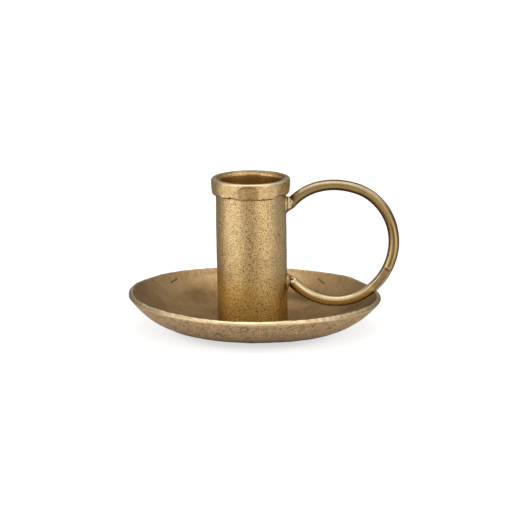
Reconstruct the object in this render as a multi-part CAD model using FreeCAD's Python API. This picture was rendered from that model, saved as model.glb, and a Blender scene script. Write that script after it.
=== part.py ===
# Chamberstick with a finger loop, in brass, brazed up from four formed pieces.
#
# A disc of sheet is raised into a shallow dish with a flat base. A length of tube stands on its floor
# and takes the candle, and a band is dressed round the tube's mouth as a collar. A round bar, bent
# into a ring, joins the tube at both of its ends and makes the finger loop. Braze metal holds each
# joint: a lump at each end of the ring, a fillet round the tube's foot and a hairline under the collar.
#
# Millimetres, +Z up. The origin is the centre of the dish's flat base, on the surface that it stands
# on, and +X points towards the finger loop.
import FreeCAD
import Part
import math
import os

# The dish. Its wall is one arc that leaves the flat base without a corner
rim_radius = 50.25          # to the rim's outer corner, before it is eased
rim_height = 12.9           # that corner above the table
base_radius = 23.6          # the flat that it stands on
sheet = 2.0                 # thickness of the sheet, and of the rim
rim_round = 0.6             # easing of both corners of the cut rim

# The candle tube
bore = 24.4                 # diameter, for a dinner candle of 22 to 24
tube_wall = 1.7
tube_offset = 1.7           # its axis from the dish's centre, away from the loop
mouth_easing = 1.0          # how far the mouth is opened out, on the radius
mouth_depth = 1.2           # how far down the easing reaches

# The finger loop, a round bar bent to a circle that the tube cuts
bar = 4.3                   # diameter
loop_radius = 23.3          # to the middle of the bar
loop_end_angle = 44.2       # degrees, at the loop's centre, from the horizontal to each cut end
bar_end_gap = 2.8           # from the tube's wall to the middle of each cut end
rim_clearance = 1.45        # between the loop and the dish's rim that it passes over
floor_clearance = 5.0       # least gap between the loop and the dish's floor
forging_flat_depth = 0.4    # flat left by the hammer low on the loop's front
forging_flat_start = 27.0   # degrees below the horizontal, where it begins with a step
forging_flat_end = 54.0     # degrees below the horizontal, where it runs out

# The collar, a band that flares towards the mouth
collar_height = 5.8
collar_gap = 3.4            # from its lower edge down to the middle of the bar's upper end
collar_top_wall = 1.85      # its thickness at the mouth
collar_foot_wall = 1.1      # and at its lower edge
collar_top_round = 0.85
collar_foot_round = 0.75
joint_flat_top_cut = 0.7    # depth of the flat dressed over the band's joint, at the mouth
joint_flat_foot_cut = 0.35  # and at the lower edge
dressing_radius = 9.0       # the hammer face that dressed the lower edge
dressing_depth = 0.9        # its deepest mark

# Braze metal. A lump rises above the middle of the bar's end, and drops below it, on the tube's wall
upper_lump_rise = 2.0
upper_lump_drop = 5.1
lower_lump_rise = 4.2
lower_lump_drop = 5.2
lump_width = 6.2            # across its foot on the tube
lap = 0.9                   # how far a lump runs along the bar
lap_thickness = 0.28        # how far it stands proud of the bar
foot_fillet = 1.4           # leg of the fillet round the tube's foot
collar_fillet = 0.5         # leg of the hairline under the collar

# Where the hammer met the collar's lower edge, as shares of a turn from +X, and how hard, as shares
# of the deepest mark
dressing_shares = (
    (0.035, 0.45), (0.115, 0.60), (0.205, 0.35), (0.300, 0.55), (0.385, 0.40),
    (0.470, 0.55), (0.588, 0.50), (0.667, 0.55), (0.746, 0.30), (0.893, 1.00),
)
waist_share = 0.55          # how far from the tube to the bar's end a lump is narrowest
waist_width_share = 0.80    # its width there, of its foot's width
full_turn = 360.0
oval_points = 12            # points that each oval section of a lump is drawn through

tube_radius = bore / 2 + tube_wall
bar_radius = bar / 2
overrun = sheet             # how far a cutting tool runs past what it cuts
origin = FreeCAD.Vector(0, 0, 0)
up = FreeCAD.Vector(0, 0, 1)
along_x = FreeCAD.Vector(1, 0, 0)
along_y = FreeCAD.Vector(0, 1, 0)
tube_axis = FreeCAD.Vector(-tube_offset, 0, 0)

# The arc of the dish's outer face
wall_run = rim_radius - base_radius
bowl_radius = (wall_run ** 2 + rim_height ** 2) / (2 * rim_height)
rim_slope = math.atan2(wall_run, bowl_radius - rim_height)


def at(radius, height, axis=origin):
    """A point of an outline that is turned about a vertical axis."""
    return axis + FreeCAD.Vector(radius, 0, height)


def bowl_point(radius, slope):
    """A point of the dish's wall, on the arc of this radius, where the wall has this slope."""
    return at(base_radius + radius * math.sin(slope), bowl_radius - radius * math.cos(slope))


def loop_centre():
    """The loop stands on the tube's wall, clear of the dish's rim and of its floor."""
    end = math.radians(loop_end_angle)
    x = tube_axis.x + tube_radius + bar_end_gap + loop_radius * math.cos(end)
    rim = bowl_point(bowl_radius - sheet, rim_slope)
    reach = loop_radius + bar_radius + rim_clearance
    over_rim = rim.z + math.sqrt(max(0, reach ** 2 - (rim.x - x) ** 2))
    over_floor = sheet + floor_clearance + bar_radius + loop_radius
    return FreeCAD.Vector(x, 0, max(over_rim, over_floor))


ring_centre = loop_centre()
ring_end = math.pi - math.radians(loop_end_angle)
bar_end_rise = loop_radius * math.sin(ring_end)
collar_foot = ring_centre.z + bar_end_rise + collar_gap
overall_height = collar_foot + collar_height
collar_top_radius = tube_radius + collar_top_wall
collar_foot_radius = tube_radius + collar_foot_wall


def line(start, end):
    return Part.LineSegment(start, end).toShape()


def arc(start, middle, end):
    return Part.Arc(start, middle, end).toShape()


def turned(edges, axis=origin):
    """The solid that a closed outline in the XZ plane makes when it turns about a vertical axis."""
    face = Part.Face(Part.Wire(edges))
    return face.revolve(axis, up, full_turn)


def edges_at(solid, radius, height, axis=origin):
    """The round edges of a turned solid that have this radius, at this height."""
    near = sheet / 100
    centre = at(0, height, axis)
    found = []
    for edge in solid.Edges:
        curve = edge.Curve
        if not isinstance(curve, Part.Circle):
            continue
        if curve.Center.isEqual(centre, near) and abs(curve.Radius - radius) < near:
            found.append(edge)
    return found


def eased_corner(corner, along, across, size):
    """Quarter arc that eases a square corner. Along and across point from the corner into its two sides."""
    bulge = size * (1 - math.sqrt(1 / 2))
    return arc(corner + along * size, corner + (along + across) * bulge, corner + across * size)


def drip_dish():
    """Sheet raised to a shallow dish, its rim cut square to the sheet and eased."""
    inner_radius = bowl_radius - sheet
    ease = min(rim_round, sheet / 3)
    rim_out = bowl_point(bowl_radius, rim_slope)
    rim_in = bowl_point(inner_radius, rim_slope)
    down_wall = FreeCAD.Vector(-math.cos(rim_slope), 0, -math.sin(rim_slope))
    inwards = (rim_in - rim_out) / sheet
    outer_top = rim_out + down_wall * ease
    inner_top = rim_in + down_wall * ease
    outline = [
        line(at(0, 0), at(base_radius, 0)),
        arc(at(base_radius, 0), bowl_point(bowl_radius, rim_slope / 2), outer_top),
        eased_corner(rim_out, down_wall, inwards, ease),
        line(rim_out + inwards * ease, rim_in - inwards * ease),
        eased_corner(rim_in, -inwards, down_wall, ease),
        arc(inner_top, bowl_point(inner_radius, rim_slope / 2), at(base_radius, sheet)),
        line(at(base_radius, sheet), at(0, sheet)),
        line(at(0, sheet), at(0, 0)),
    ]
    return turned(outline)


def candle_tube():
    """Plain tube that stands on the dish's floor, with its bore eased at the mouth."""
    bore_radius = bore / 2
    mouth_radius = bore_radius + mouth_easing
    easing_foot = overall_height - mouth_depth
    outline = [
        line(at(bore_radius, sheet, tube_axis), at(tube_radius, sheet, tube_axis)),
        line(at(tube_radius, sheet, tube_axis), at(tube_radius, overall_height, tube_axis)),
        line(at(tube_radius, overall_height, tube_axis), at(mouth_radius, overall_height, tube_axis)),
        arc(
            at(mouth_radius, overall_height, tube_axis),
            at(bore_radius + mouth_easing / 3, overall_height - mouth_depth / 3, tube_axis),
            at(bore_radius, easing_foot, tube_axis),
        ),
        line(at(bore_radius, easing_foot, tube_axis), at(bore_radius, sheet, tube_axis)),
    ]
    return turned(outline, tube_axis)


def joint_flat_tool():
    """Cuts the flat on the collar's front, which leans in a little towards the lower edge."""
    lean = (joint_flat_foot_cut - joint_flat_top_cut + collar_top_wall - collar_foot_wall) / collar_height
    foot_depth = collar_foot_radius - joint_flat_foot_cut - lean * overrun
    top_depth = collar_top_radius - joint_flat_top_cut + lean * overrun
    clear = collar_top_radius + overrun
    low = collar_foot - overrun
    high = overall_height + overrun
    start = tube_axis - along_x * clear
    corners = [
        start + FreeCAD.Vector(0, -foot_depth, low),
        start + FreeCAD.Vector(0, -top_depth, high),
        start + FreeCAD.Vector(0, -clear, high),
        start + FreeCAD.Vector(0, -clear, low),
    ]
    side = Part.Face(Part.makePolygon(corners + corners[:1]))
    return side.extrude(along_x * (2 * clear))


def hammer_mark(turn, depth):
    """The round face of a hammer, pointing away from the tube's axis, this deep in the lower edge."""
    outwards = FreeCAD.Vector(math.cos(turn), math.sin(turn), 0)
    height = collar_foot + depth - dressing_radius
    return Part.makeCylinder(
        dressing_radius, collar_top_radius + overrun, at(0, height, tube_axis), outwards
    )


def rim_collar():
    """Flared band round the mouth, with a flat dressed over its joint and a hammered lower edge."""
    corners = [
        at(tube_radius, collar_foot, tube_axis),
        at(collar_foot_radius, collar_foot, tube_axis),
        at(collar_top_radius, overall_height, tube_axis),
        at(tube_radius, overall_height, tube_axis),
    ]
    band = turned([line(a, b) for a, b in zip(corners, corners[1:] + corners[:1])], tube_axis)
    top_edge = edges_at(band, collar_top_radius, overall_height, tube_axis)
    band = band.makeFillet(min(collar_top_round, collar_top_wall / 2), top_edge)
    foot_edge = edges_at(band, collar_foot_radius, collar_foot, tube_axis)
    band = band.makeFillet(min(collar_foot_round, collar_foot_wall * 0.7), foot_edge)
    band = band.cut(joint_flat_tool())
    for turn_share, depth_share in dressing_shares:
        band = band.cut(hammer_mark(2 * math.pi * turn_share, dressing_depth * depth_share))
    return band


def ring_point(angle, radius=loop_radius):
    """A point of the loop's plane, at this angle above the horizontal that points to +X."""
    return ring_centre + FreeCAD.Vector(radius * math.cos(angle), 0, radius * math.sin(angle))


def ring_tangent(angle):
    return FreeCAD.Vector(-math.sin(angle), 0, math.cos(angle))


def ring_handle():
    """Round bar bent to a ring, open at the tube, with a flat forged low on its front."""
    start = ring_point(-ring_end)
    path = Part.Wire([arc(start, ring_point(0), ring_point(ring_end))])
    section = Part.Wire([Part.Circle(start, ring_tangent(-ring_end), bar_radius).toShape()])
    ring = path.makePipeShell([section], True, True)

    # The flat's tool is a block swept about the loop's centre
    first = math.radians(-forging_flat_end)
    near = ring_point(first, loop_radius - bar_radius - overrun)
    far = ring_point(first, loop_radius + bar_radius + overrun)
    front = -along_y * (bar_radius + overrun)
    face = -along_y * (bar_radius - forging_flat_depth)
    block = Part.Face(Part.makePolygon([near + front, far + front, far + face, near + face, near + front]))
    return ring.cut(block.revolve(ring_centre, -along_y, forging_flat_end - forging_flat_start))


def oval(centre, normal, half_width, half_height):
    """Closed oval with its width along Y. All of them start on the +Y side, so lofts don't twist."""
    upright = normal.cross(along_y)
    upright.normalize()
    points = []
    for step in range(oval_points):
        turn = 2 * math.pi * step / oval_points
        aside = along_y * (half_width * math.cos(turn))
        points.append(centre + aside + upright * (half_height * math.sin(turn)))
    curve = Part.BSplineCurve()
    curve.interpolate(Points=points, PeriodicFlag=True)
    return Part.Wire([curve.toShape()])


def handle_lump(side, rise, drop, ring):
    """Braze metal between one end of the bar and the tube. Side is 1 at the upper end, -1 at the lower."""
    end_height = ring_centre.z + side * bar_end_rise
    half_height = (rise + drop) / 2
    foot = at(tube_radius - lap, end_height + (rise - drop) / 2, tube_axis)
    tip_angle = side * (ring_end - lap / loop_radius)
    tip = ring_point(tip_angle)
    tip_normal = ring_tangent(tip_angle) * side
    tip_radius = bar_radius + lap_thickness
    waist = foot + (tip - foot) * waist_share
    waist_normal = tip_normal - along_x
    waist_normal.normalize()
    sections = [
        oval(foot, -along_x, lump_width / 2, half_height),
        oval(waist, waist_normal, lump_width / 2 * waist_width_share, half_height * waist_width_share),
        oval(tip, tip_normal, tip_radius, tip_radius),
    ]
    lump = Part.makeLoft(sections, True, False)
    tube = Part.makeCylinder(tube_radius, overall_height, tube_axis)
    return lump.cut(tube).cut(ring)


def tube_foot_braze():
    """Hollow-faced fillet between the tube's foot and the dish's floor."""
    hollow = foot_fillet / 3
    corner = at(tube_radius, sheet, tube_axis)
    wall_point = at(tube_radius, sheet + foot_fillet, tube_axis)
    floor_point = at(tube_radius + foot_fillet, sheet, tube_axis)
    face = arc(wall_point, at(tube_radius + hollow, sheet + hollow, tube_axis), floor_point)
    return turned([line(corner, wall_point), face, line(floor_point, corner)], tube_axis)


def collar_braze(collar):
    """Hairline under the collar. It fills the hammer marks too."""
    hollow = collar_fillet / 3
    top = collar_foot + dressing_depth
    inner_top = at(tube_radius, top, tube_axis)
    outer_top = at(tube_radius + collar_fillet, top, tube_axis)
    outer_foot = at(tube_radius + collar_fillet, collar_foot, tube_axis)
    wall_foot = at(tube_radius, collar_foot - collar_fillet, tube_axis)
    face = arc(outer_foot, at(tube_radius + hollow, collar_foot - hollow, tube_axis), wall_foot)
    outline = [line(inner_top, outer_top), line(outer_top, outer_foot), face, line(wall_foot, inner_top)]
    return turned(outline, tube_axis).cut(collar)


def main():
    collar = rim_collar()
    ring = ring_handle()
    pieces = {
        "drip_dish": drip_dish(),
        "candle_tube": candle_tube(),
        "rim_collar": collar,
        "ring_handle": ring,
        "upper_handle_braze": handle_lump(1, upper_lump_rise, upper_lump_drop, ring),
        "lower_handle_braze": handle_lump(-1, lower_lump_rise, lower_lump_drop, ring),
        "tube_foot_braze": tube_foot_braze(),
        "collar_braze": collar_braze(collar),
    }
    os.makedirs("parts", exist_ok=True)
    for name, solid in pieces.items():
        box = solid.optimalBoundingBox(False)
        low = [round(value, 2) for value in (box.XMin, box.YMin, box.ZMin)]
        high = [round(value, 2) for value in (box.XMax, box.YMax, box.ZMax)]
        print(name, solid.isValid(), len(solid.Solids), "volume", round(solid.Volume, 1), low, high)
        solid.exportStep(os.path.join("parts", name + ".step"))


main()
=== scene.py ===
import math

import bpy
import numpy as np
from mathutils import Matrix, Vector


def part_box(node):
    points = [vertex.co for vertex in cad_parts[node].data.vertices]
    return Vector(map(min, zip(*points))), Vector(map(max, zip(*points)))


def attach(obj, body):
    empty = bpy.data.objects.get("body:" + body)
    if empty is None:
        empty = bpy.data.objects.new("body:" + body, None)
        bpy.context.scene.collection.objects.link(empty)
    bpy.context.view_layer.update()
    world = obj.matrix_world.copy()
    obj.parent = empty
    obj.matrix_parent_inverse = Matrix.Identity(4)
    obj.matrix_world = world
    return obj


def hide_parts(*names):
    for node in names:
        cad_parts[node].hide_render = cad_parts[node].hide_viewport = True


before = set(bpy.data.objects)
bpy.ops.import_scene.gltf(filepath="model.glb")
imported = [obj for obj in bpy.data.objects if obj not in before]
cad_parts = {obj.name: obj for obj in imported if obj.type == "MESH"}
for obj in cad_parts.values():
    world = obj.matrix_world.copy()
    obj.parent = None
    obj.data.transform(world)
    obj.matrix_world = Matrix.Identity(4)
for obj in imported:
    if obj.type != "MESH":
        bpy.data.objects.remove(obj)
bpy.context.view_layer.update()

# The pieces are worked out in millimetres and become metres when their meshes are made
MM = 0.001
TURN = 2 * math.pi

# Sizes that the frame gives
TUBE_LOW, TUBE_HIGH = (np.array(corner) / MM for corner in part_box("candle_tube"))
LOOP_LOW, LOOP_HIGH = (np.array(corner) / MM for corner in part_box("ring_handle"))
COLLAR_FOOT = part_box("rim_collar")[0][2] / MM
TUBE_X = (TUBE_LOW[0] + TUBE_HIGH[0]) / 2
TUBE_RADIUS = (TUBE_HIGH[0] - TUBE_LOW[0]) / 2
FLOOR_Z = TUBE_LOW[2]
MOUTH_Z = TUBE_HIGH[2]
BAR_RADIUS = (LOOP_HIGH[1] - LOOP_LOW[1]) / 2
LOOP_Z = (LOOP_HIGH[2] + LOOP_LOW[2]) / 2
LOOP_RADIUS = (LOOP_HIGH[2] - LOOP_LOW[2]) / 2 - BAR_RADIUS
LOOP_X = LOOP_HIGH[0] - LOOP_RADIUS - BAR_RADIUS
# Angle at the loop's centre from its outermost point to the bar's cut ends
BAR_END = math.acos((LOOP_LOW[0] + BAR_RADIUS * 0.72 - LOOP_X) / LOOP_RADIUS)

# Points round each piece, and rows along the bar and the braze lumps
DISH_POINTS = 480
TUBE_POINTS = 360
COLLAR_POINTS = 540
SEAM_POINTS = 480
BEAD_POINTS = 10
BAR_POINTS = 56
BAR_ROWS = 460
LUMP_POINTS = 64
LUMP_ROWS = 44

# The dish's sheet
SHEET = 2.0
BASE_RADIUS = 23.6
POLE_RADIUS = 2.0  # where the rows of the two flats end, round a middle point
RIM_CORNER = 50.25
RIM_HEIGHT = 12.9
RIM_EASING = 0.6
RIM_DIP = 0.0156  # slope by which the rim hangs lower on the loop's side
# The wall's outer face is an arc: its run, radius and slope at the rim. Ways along and out of it there
WALL_RUN = RIM_CORNER - BASE_RADIUS
WALL_RADIUS = (WALL_RUN ** 2 + RIM_HEIGHT ** 2) / (2 * RIM_HEIGHT)
WALL_SLOPE = math.atan2(WALL_RUN, WALL_RADIUS - RIM_HEIGHT)
RIM_ALONG = np.array([math.cos(WALL_SLOPE), math.sin(WALL_SLOPE)])
RIM_OUT = np.array([math.sin(WALL_SLOPE), -math.cos(WALL_SLOPE)])
# Places where the rim stands a little high or low: bearing in degrees, rise, spread
RIM_RISES = (
    (168.0, 0.65, 12.0), (134.0, 0.40, 16.0), (112.0, 0.10, 10.0), (68.0, 0.30, 12.0), (41.0, 0.70, 13.0),
    (255.0, -0.60, 32.0),
)
# A fuller place in the wall, to the right of the front: bearing, swelling, spread
WALL_SWELL = (318.0, 0.75, 24.0)

# Painted light and shade on the dish. Places on the rim and under the loop: bearing in degrees, spread
RIM_LEFT_FRONT = (212.0, 24.0)
RIM_RIGHT_FRONT = (-42.0, 22.0)
UNDER_LOOP = (63.0, 12.0)
# Painted lines along the rim's corners, a highlight along the inner one and a dark outline along the outer
# one: how far through the sheet, how wide
INNER_CORNER = (1.60, 0.25)
OUTER_CORNER = (0.10, 0.40)
TUBE_SHADE_REACH = 15.0  # how far from the tube the painted shade beside it reaches

# The tube, its mouth and its lean
BORE_RADIUS = 12.2
LIP_RAISE = 0.33  # how far the dressed lip stands above the solid one
LIP_TILT = 0.008  # slope by which the lip stands higher on the loop's side
SEAM_DROP = 0.42  # how far the collar's hammered edge was drawn down over the seam
MOUTH_EASING = 1.0
MOUTH_DEPTH = 1.2
LEAN = 0.0155  # slope by which the tube's foot stands off towards the loop

# Painted light and shade on the tube: bearing in degrees and spread, and for the belt depth below the mouth
# and spread
FRONT_SHADE = (272.0, 16.0)
LOW_LEFT_SHADE = (196.0, 20.0)
LEFT_GLEAM = (234.0, 18.0)
RIGHT_GLEAM = (330.0, 20.0)
BELT_SHADE = (38.0, 9.0)

# The collar
COLLAR_TOP_WALL = 1.85
COLLAR_FOOT_WALL = 1.5
COLLAR_TUCK = 0.3  # how far its inner face is let into the tube's wall
LIP_ROUND = 0.85
LIP_EASING = 0.1
FOOT_ROUND = 0.75
FOOT_EASING = 0.25
DRESSING_RADIUS = 9.0
DRESSING_DEPTH = 0.9
# Scallops in its lower edge: place as a share of the turn, share of the depth
DRESSING_SHARES = (
    (0.035, 0.45), (0.115, 0.60), (0.205, 0.35), (0.300, 0.55), (0.385, 0.40),
    (0.470, 0.55), (0.588, 0.50), (0.667, 0.55), (0.746, 0.30), (0.893, 1.00),
)
SOFTNESS = 0.05  # how softly the flats' edges begin
# Flats that the hammer left round the collar: bearing in degrees, how deep at the mouth, at the foot
COLLAR_FLATS = (
    (265.6, 0.55, 0.52), (197.0, 0.30, 0.30), (160.0, 0.10, 0.14), (118.0, 0.16, 0.10),
    (72.0, 0.12, 0.15), (28.0, 0.10, 0.12), (338.0, 0.12, 0.10), (306.0, 0.08, 0.12),
    (236.0, 0.10, 0.06),
)
# Where the flat under the lip is streaked and darkened by painted shade: bearing and half its width in
# degrees
DULL_SHADED_PLACE = (270.5, 10.0)

# The loop's bar
FORGED_FLAT = 0.42
FORGED_START = -27.0  # degrees from the horizontal
FORGED_END = -56.0
# Where the ring leaves a true circle: bearing, how far outwards, spread
OUT_OF_ROUND = ((85.0, -0.55, 26.0), (-80.0, 0.85, 38.0))
CREASE_REACH = 0.05  # how far outside the bar's middle line the painted shade of a crease runs down to the flat
BAR_UNEVENNESS = 0.12

# Braze metal at the bar's two ends. On the wall it goes by rise above and by drop below the bar's end.
# The painted shade of the crease runs, and the bead's painted highlight ends, at these distances off the
# wall. Painted shade darkens the root next to the wall
UPPER_LUMP = {
    "side": 1, "rise": 2.2, "drop": 5.8, "slender": 3.2, "crease": 0.45, "bead": 2.15,
    "root_shade": 0.16, "dullness": 0.4, "seed": 61, "pits": (),
}
LOWER_LUMP = {
    "side": -1, "rise": 4.2, "drop": 5.2, "slender": 4.0, "crease": 1.25, "bead": 3.65,
    "root_shade": 0.60, "dullness": 1.0, "seed": 71, "pits": ((14.7, 20.2), (14.4, 17.6), (17.0, 14.6)),
}
PIT_RADIUS = 0.6
LUMP_HALF_WIDTH = 2.7
LUMP_DEPTH = 0.6  # how far its foot goes into the tube's wall
LUMP_SKIN = 0.22  # how thick it ends on the bar
LAP = 0.35  # how far it runs along the bar

# Braze metal round the tube's foot and under the collar
FOOT_FILLET = 1.4
FILLET_TUCK = 0.3
SEAM_RADIUS = 0.20
SEAM_UNEVENNESS = 2.4

# Marks of use. Strokes inside the dish, as places seen from above, and how wide
STROKES = (
    ((-33.6, 31.1), (-31.3, 34.25), 0.38),
    ((25.45, 38.65), (27.8, 35.45), 0.42),
)
# Pits on the dish's front: across, height and radius
PITS = (
    (-14.6, 6.9, 0.50), (-13.3, 6.5, 0.55), (-12.7, 5.8, 0.45), (-15.4, 6.1, 0.42), (-14.0, 7.7, 0.36),
    (-11.6, 6.7, 0.34), (9.8, 10.2, 0.34), (22.5, 10.1, 0.40), (-27.5, 9.3, 0.40), (31.0, 6.5, 0.36),
)
PIT_RING = (-4.1, 10.0, 1.5)
RING_SQUASH = 1.5  # how much lower than wide the faint ring is

# The lights: bearing from the camera's side towards +X, in degrees
LEFT_BEARING = -60.0
RIGHT_BEARING = 43.0
# Light that the softboxes throw on the table: bearing, outer and inner half angle, strength
LAMP_POOLS = ((LEFT_BEARING, 48, 20, 0.85), (RIGHT_BEARING, 40, 16, 0.72))
WHITE = (1.0, 1.0, 1.0, 1.0)
ROOM_COLOUR = (1.0, 0.99, 0.97, 1.0)
FLOOR_COLOUR = (0.815, 0.82, 0.85, 1.0)
FLOOR_GLOW = 1.54
FLOOR_REACH = 4.0

# The view of the photograph
PHOTO_PIXELS = 522
AIM_HEIGHT = 30.0  # the point of the object's axis that the camera is measured from
CAMERA_DISTANCE = 2088.8
CAMERA_PITCH = math.radians(12.072)
FOCAL_PIXELS = 5276.6
AIM_PIXEL = (254.85, 253.76)
SENSOR = 36.0


# Small helpers for shapes and wear

def smooth(x):
    x = np.clip(x, 0.0, 1.0)
    return x * x * (3 - 2 * x)


def rising(values, low, high):
    """0 up to low and 1 from high on, eased between. It falls instead where high is below low."""
    return smooth((values - low) / (high - low))


def bell(values, middle, spread):
    """1 at the middle, fading to 0 on both sides of it."""
    return np.exp(-((values - middle) / spread) ** 2)


def bell_round(degrees, bearing, spread):
    """A bell round the circle."""
    return bell((degrees - bearing + 180) % 360, 180, spread)


def fading(distance, length):
    """1 where there is no distance yet, fading away over about this length."""
    return np.exp(-np.clip(distance, 0, None) / length)


def wrapped(angles):
    return (angles + math.pi) % TURN - math.pi


def ripple(points, wavelength, seed, waves=22):
    """Soft bumps of about this wavelength in millimetres, mostly between -1 and 1."""
    random = np.random.default_rng(seed)
    total = np.zeros(points.shape[:-1])
    for _ in range(waves):
        direction = random.normal(size=3)
        direction /= np.linalg.norm(direction)
        length = wavelength * random.uniform(0.75, 1.4)
        total += np.sin(points @ (direction * TURN / length) + random.uniform(0, TURN))
    return total / math.sqrt(waves)


def pulled_in(points, bearing, limit):
    """Points round the tube's axis pressed flat where they pass a plane that faces this bearing."""
    facing = np.array([math.cos(bearing), math.sin(bearing)])
    reach = (points[..., 0] - TUBE_X) * facing[0] + points[..., 1] * facing[1]
    excess = SOFTNESS * np.log1p(np.exp(np.clip((reach - limit) / SOFTNESS, -40, 40)))
    points[..., 0] -= excess * facing[0]
    points[..., 1] -= excess * facing[1]


def around(count):
    return np.arange(count) * TURN / count


def circle(angles, radius, height, x=TUBE_X):
    """Points round an upright axis at x."""
    return np.stack([x + radius * np.cos(angles), radius * np.sin(angles), height + 0 * angles], -1)


def turned(profile, angles, x=0.0):
    """Points of a surface of revolution, rows along the profile, about an upright axis at x."""
    return circle(angles, profile[:, :1], profile[:, 1:], x)


def turned_normals(profile, angles):
    """Outward normals. The profile runs anticlockwise round its metal, seen from -Y."""
    along = np.gradient(profile, axis=0)
    along /= np.linalg.norm(along, axis=1)[:, None] + 1e-12
    return turned(np.stack([along[:, 1], -along[:, 0]], -1), angles)


def off_axis(points, x=TUBE_X):
    """Distance from an upright axis at x."""
    return np.hypot(points[..., 0] - x, points[..., 1])


def placed(name, data):
    thing = bpy.data.objects.new(name, data)
    bpy.context.scene.collection.objects.link(thing)
    return thing


def set_values(mesh, values):
    """Numbers for each vertex under their labels, which the finish reads."""
    for label, value in values.items():
        attribute = mesh.attributes.new(label, "FLOAT", "POINT")
        attribute.data.foreach_set("value", np.asarray(value, dtype=np.float32))


def mesh_piece(name, rows, material, values, closed_rows=False):
    """A smooth mesh from rows of points in millimetres. Each row closes on itself.

    The rows themselves close into a ring, or the first and the last one each end in a middle point.
    """
    count, ring = rows.shape[:2]
    vertices = rows.reshape(-1, 3)
    index = np.arange(count * ring).reshape(count, ring)
    turns = count if closed_rows else count - 1
    low = index[:turns]
    high = index[(np.arange(turns) + 1) % count]
    faces = np.stack([low, np.roll(low, -1, 1), np.roll(high, -1, 1), high], -1).reshape(-1, 4).tolist()
    for row, edge in () if closed_rows else ((rows[0], index[0][::-1]), (rows[-1], index[-1])):
        faces += [[len(vertices), int(one), int(other)] for one, other in zip(edge, np.roll(edge, -1))]
        vertices = np.vstack([vertices, row.mean(0)])
    mesh = bpy.data.meshes.new(name)
    mesh.from_pydata((vertices * MM).tolist(), [], faces)
    mesh.polygons.foreach_set("use_smooth", [True] * len(mesh.polygons))
    mesh.materials.append(material)
    spare = len(vertices) - count * ring
    flat = {label: np.broadcast_to(value, (count, ring)).ravel() for label, value in values.items()}
    set_values(mesh, {label: np.append(value, [value[-1]] * spare) for label, value in flat.items()})
    mesh.update()
    return placed(name, mesh)


# Node graphs written as expressions

class Wire:
    """An output socket that arithmetic can be done on."""

    def __init__(self, graph, socket):
        self.graph = graph
        self.socket = socket

    def math(self, operation, *values, clamp=False):
        settings = {"operation": operation, "use_clamp": clamp}
        return self.graph.add("ShaderNodeMath", settings, dict(enumerate(values)))["Value"]

    def __add__(self, other):
        return self.math("ADD", self, other)

    def __sub__(self, other):
        return self.math("SUBTRACT", self, other)

    def __rsub__(self, other):
        return self.math("SUBTRACT", other, self)

    def __mul__(self, other):
        return self.math("MULTIPLY", self, other)

    def __pow__(self, other):
        return self.math("POWER", self, other)

    __radd__ = __add__
    __rmul__ = __mul__

    def higher(self, other):
        return self.math("MAXIMUM", self, other)

    def clamped(self):
        return self.math("ADD", self, 0.0, clamp=True)


class Graph:
    """One node tree."""

    def __init__(self, tree):
        self.tree = tree

    def add(self, kind, settings=None, inputs=None):
        """Adds a node, sets its settings, then its sockets, and returns its outputs by name."""
        node = self.tree.nodes.new(kind)
        for key, value in (settings or {}).items():
            setattr(node, key, value)
        sockets = {socket.identifier: socket for socket in node.inputs}
        for key, value in (inputs or {}).items():
            socket = node.inputs[key] if isinstance(key, int) else sockets[key]
            if isinstance(value, Wire):
                self.tree.links.new(value.socket, socket)
            else:
                socket.default_value = value
        return {socket.identifier: Wire(self, socket) for socket in node.outputs}

    def vector(self, operation, *values):
        """Vector arithmetic. Lengths, distances and dot products are numbers."""
        inputs = dict(zip(("Vector", "Vector_001", "Vector_002"), values))
        outputs = self.add("ShaderNodeVectorMath", {"operation": operation}, inputs)
        return outputs["Value" if operation in ("LENGTH", "DISTANCE", "DOT_PRODUCT") else "Vector"]

    def mix(self, share, one, other):
        """A colour between two colours."""
        settings = {"data_type": "RGBA"}
        inputs = {"Factor_Float": share, "A_Color": one, "B_Color": other}
        return self.add("ShaderNodeMix", settings, inputs)["Result_Color"]

    def ramp(self, value, low, high, out_low=0.0, out_high=1.0):
        """Value eased from one range to another."""
        settings = {"interpolation_type": "SMOOTHSTEP"}
        inputs = {"Value": value, "From Min": low, "From Max": high, "To Min": out_low, "To Max": out_high}
        return self.add("ShaderNodeMapRange", settings, inputs)["Result"]

    def noise(self, place, size, detail=2.0, roughness=0.5):
        """Noise whose features are about this many millimetres across, from 0 to 1."""
        inputs = {"Vector": place, "Scale": 1 / (size * MM), "Detail": detail, "Roughness": roughness}
        return self.add("ShaderNodeTexNoise", None, inputs)["Fac"]

    def told(self, label):
        """What the vertices say under this label."""
        return self.add("ShaderNodeAttribute", {"attribute_name": label})["Fac"]


def cleared(owner):
    """The node graph of a material or world, emptied but for its output."""
    owner.use_nodes = True
    nodes = owner.node_tree.nodes
    for node in list(nodes):
        if not node.type.startswith("OUTPUT"):
            nodes.remove(node)
    return Graph(owner.node_tree)


def finished(graph, shader):
    for node in graph.tree.nodes:
        if node.type.startswith("OUTPUT"):
            graph.tree.links.new(shader.socket, node.inputs["Surface"])


# Finishes

BRIGHT_BRASS = (0.72, 0.51, 0.245, 1.0)
EDGE_TINT = (0.80, 0.75, 0.66, 1.0)  # how dark the metal looks where it turns away
WORN_BRASS = (0.59, 0.385, 0.19, 1.0)
# The colour of polishing and of painted highlights
POLISH_AND_HIGHLIGHT_BRASS = (0.97, 0.84, 0.62, 1.0)
DARK_BRASS = (0.245, 0.150, 0.063, 1.0)
WARM_BRASS = (0.76, 0.48, 0.125, 1.0)
ROSY_BRASS = (0.66, 0.435, 0.25, 1.0)
OLIVE_BRASS = (0.53, 0.475, 0.17, 1.0)
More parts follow.
